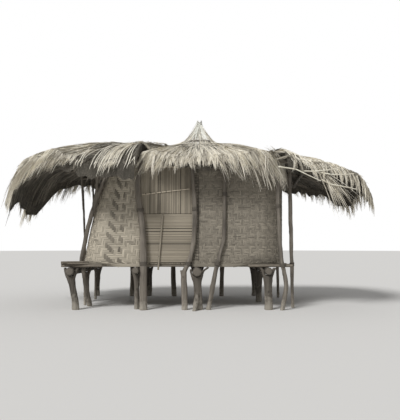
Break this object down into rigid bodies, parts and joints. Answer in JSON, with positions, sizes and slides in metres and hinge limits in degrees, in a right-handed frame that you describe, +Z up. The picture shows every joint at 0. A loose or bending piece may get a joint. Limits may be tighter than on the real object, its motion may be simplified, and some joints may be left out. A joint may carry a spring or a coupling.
{
  "type": "raised granary",
  "caption": "Raised granary: a round-cornered basket of woven cane mats on forked posts and logs, closed by reed panels, under a wide thatch canopy with a peaked cap.",
  "frame": {"origin": "on the ground, at the centre of the granary's bounding box", "axes": "+X along the front to the right, +Y from the doorway's face to the back, +Z up"},
  "size_m": [7.8807, 4.4066, 4.085],
  "materials": {
    "bark_wood": "rough bark and weathered sapwood, dull",
    "pole_wood": "peeled round poles, weathered grey, dull",
    "weathered_wood": "debarked crooked trunks bleached by the sun, long checks, dull",
    "reed": "split reeds, weathered straw grey, faint sheen",
    "cane_mat_light": "woven split cane strips, sun bleached, matt",
    "cane_mat_dark": "woven split cane strips, older and greyer, matt",
    "thatch": "dry grass thatch, pale straw grey, matt"
  },
  "bodies": {
    "root": {"fork_post_left": "bark_wood", "fork_post_door": "bark_wood", "fork_post_middle": "bark_wood", "fork_post_right": "bark_wood", "fork_posts_centre": "bark_wood", "fork_posts_back": "bark_wood", "bearer_logs": "bark_wood", "floor_poles": "pole_wood", "edge_poles": "pole_wood", "stick_bundle": "pole_wood", "reed_floor": "reed", "mat_front_left": "cane_mat_light", "mat_left_front": "cane_mat_light", "mat_left_back": "cane_mat_light", "mat_back_left": "cane_mat_light", "mat_back_right": "cane_mat_dark", "mat_right_back": "cane_mat_dark", "mat_right_front": "cane_mat_dark", "mat_front_right": "cane_mat_dark", "upper_reed_panel": "reed", "lower_reed_panel": "reed", "panel_laths": "pole_wood", "door_post_left": "weathered_wood", "door_post_right": "weathered_wood", "leaning_brace": "weathered_wood", "slender_post": "weathered_wood", "forked_pole_left": "weathered_wood", "back_posts": "weathered_wood", "end_posts": "weathered_wood", "wall_plates": "pole_wood", "cap_beam": "pole_wood", "ridge_pole": "pole_wood", "left_ribs": "pole_wood", "middle_ribs": "pole_wood", "right_ribs": "pole_wood", "left_roof_poles": "pole_wood", "back_roof_poles": "pole_wood", "right_roof_poles": "pole_wood", "thatch_left": "thatch", "thatch_back": "thatch", "thatch_right": "thatch", "cap_frame": "pole_wood", "cap_skirt": "thatch", "cap_spire": "thatch"}
  },
  "joints": []
}
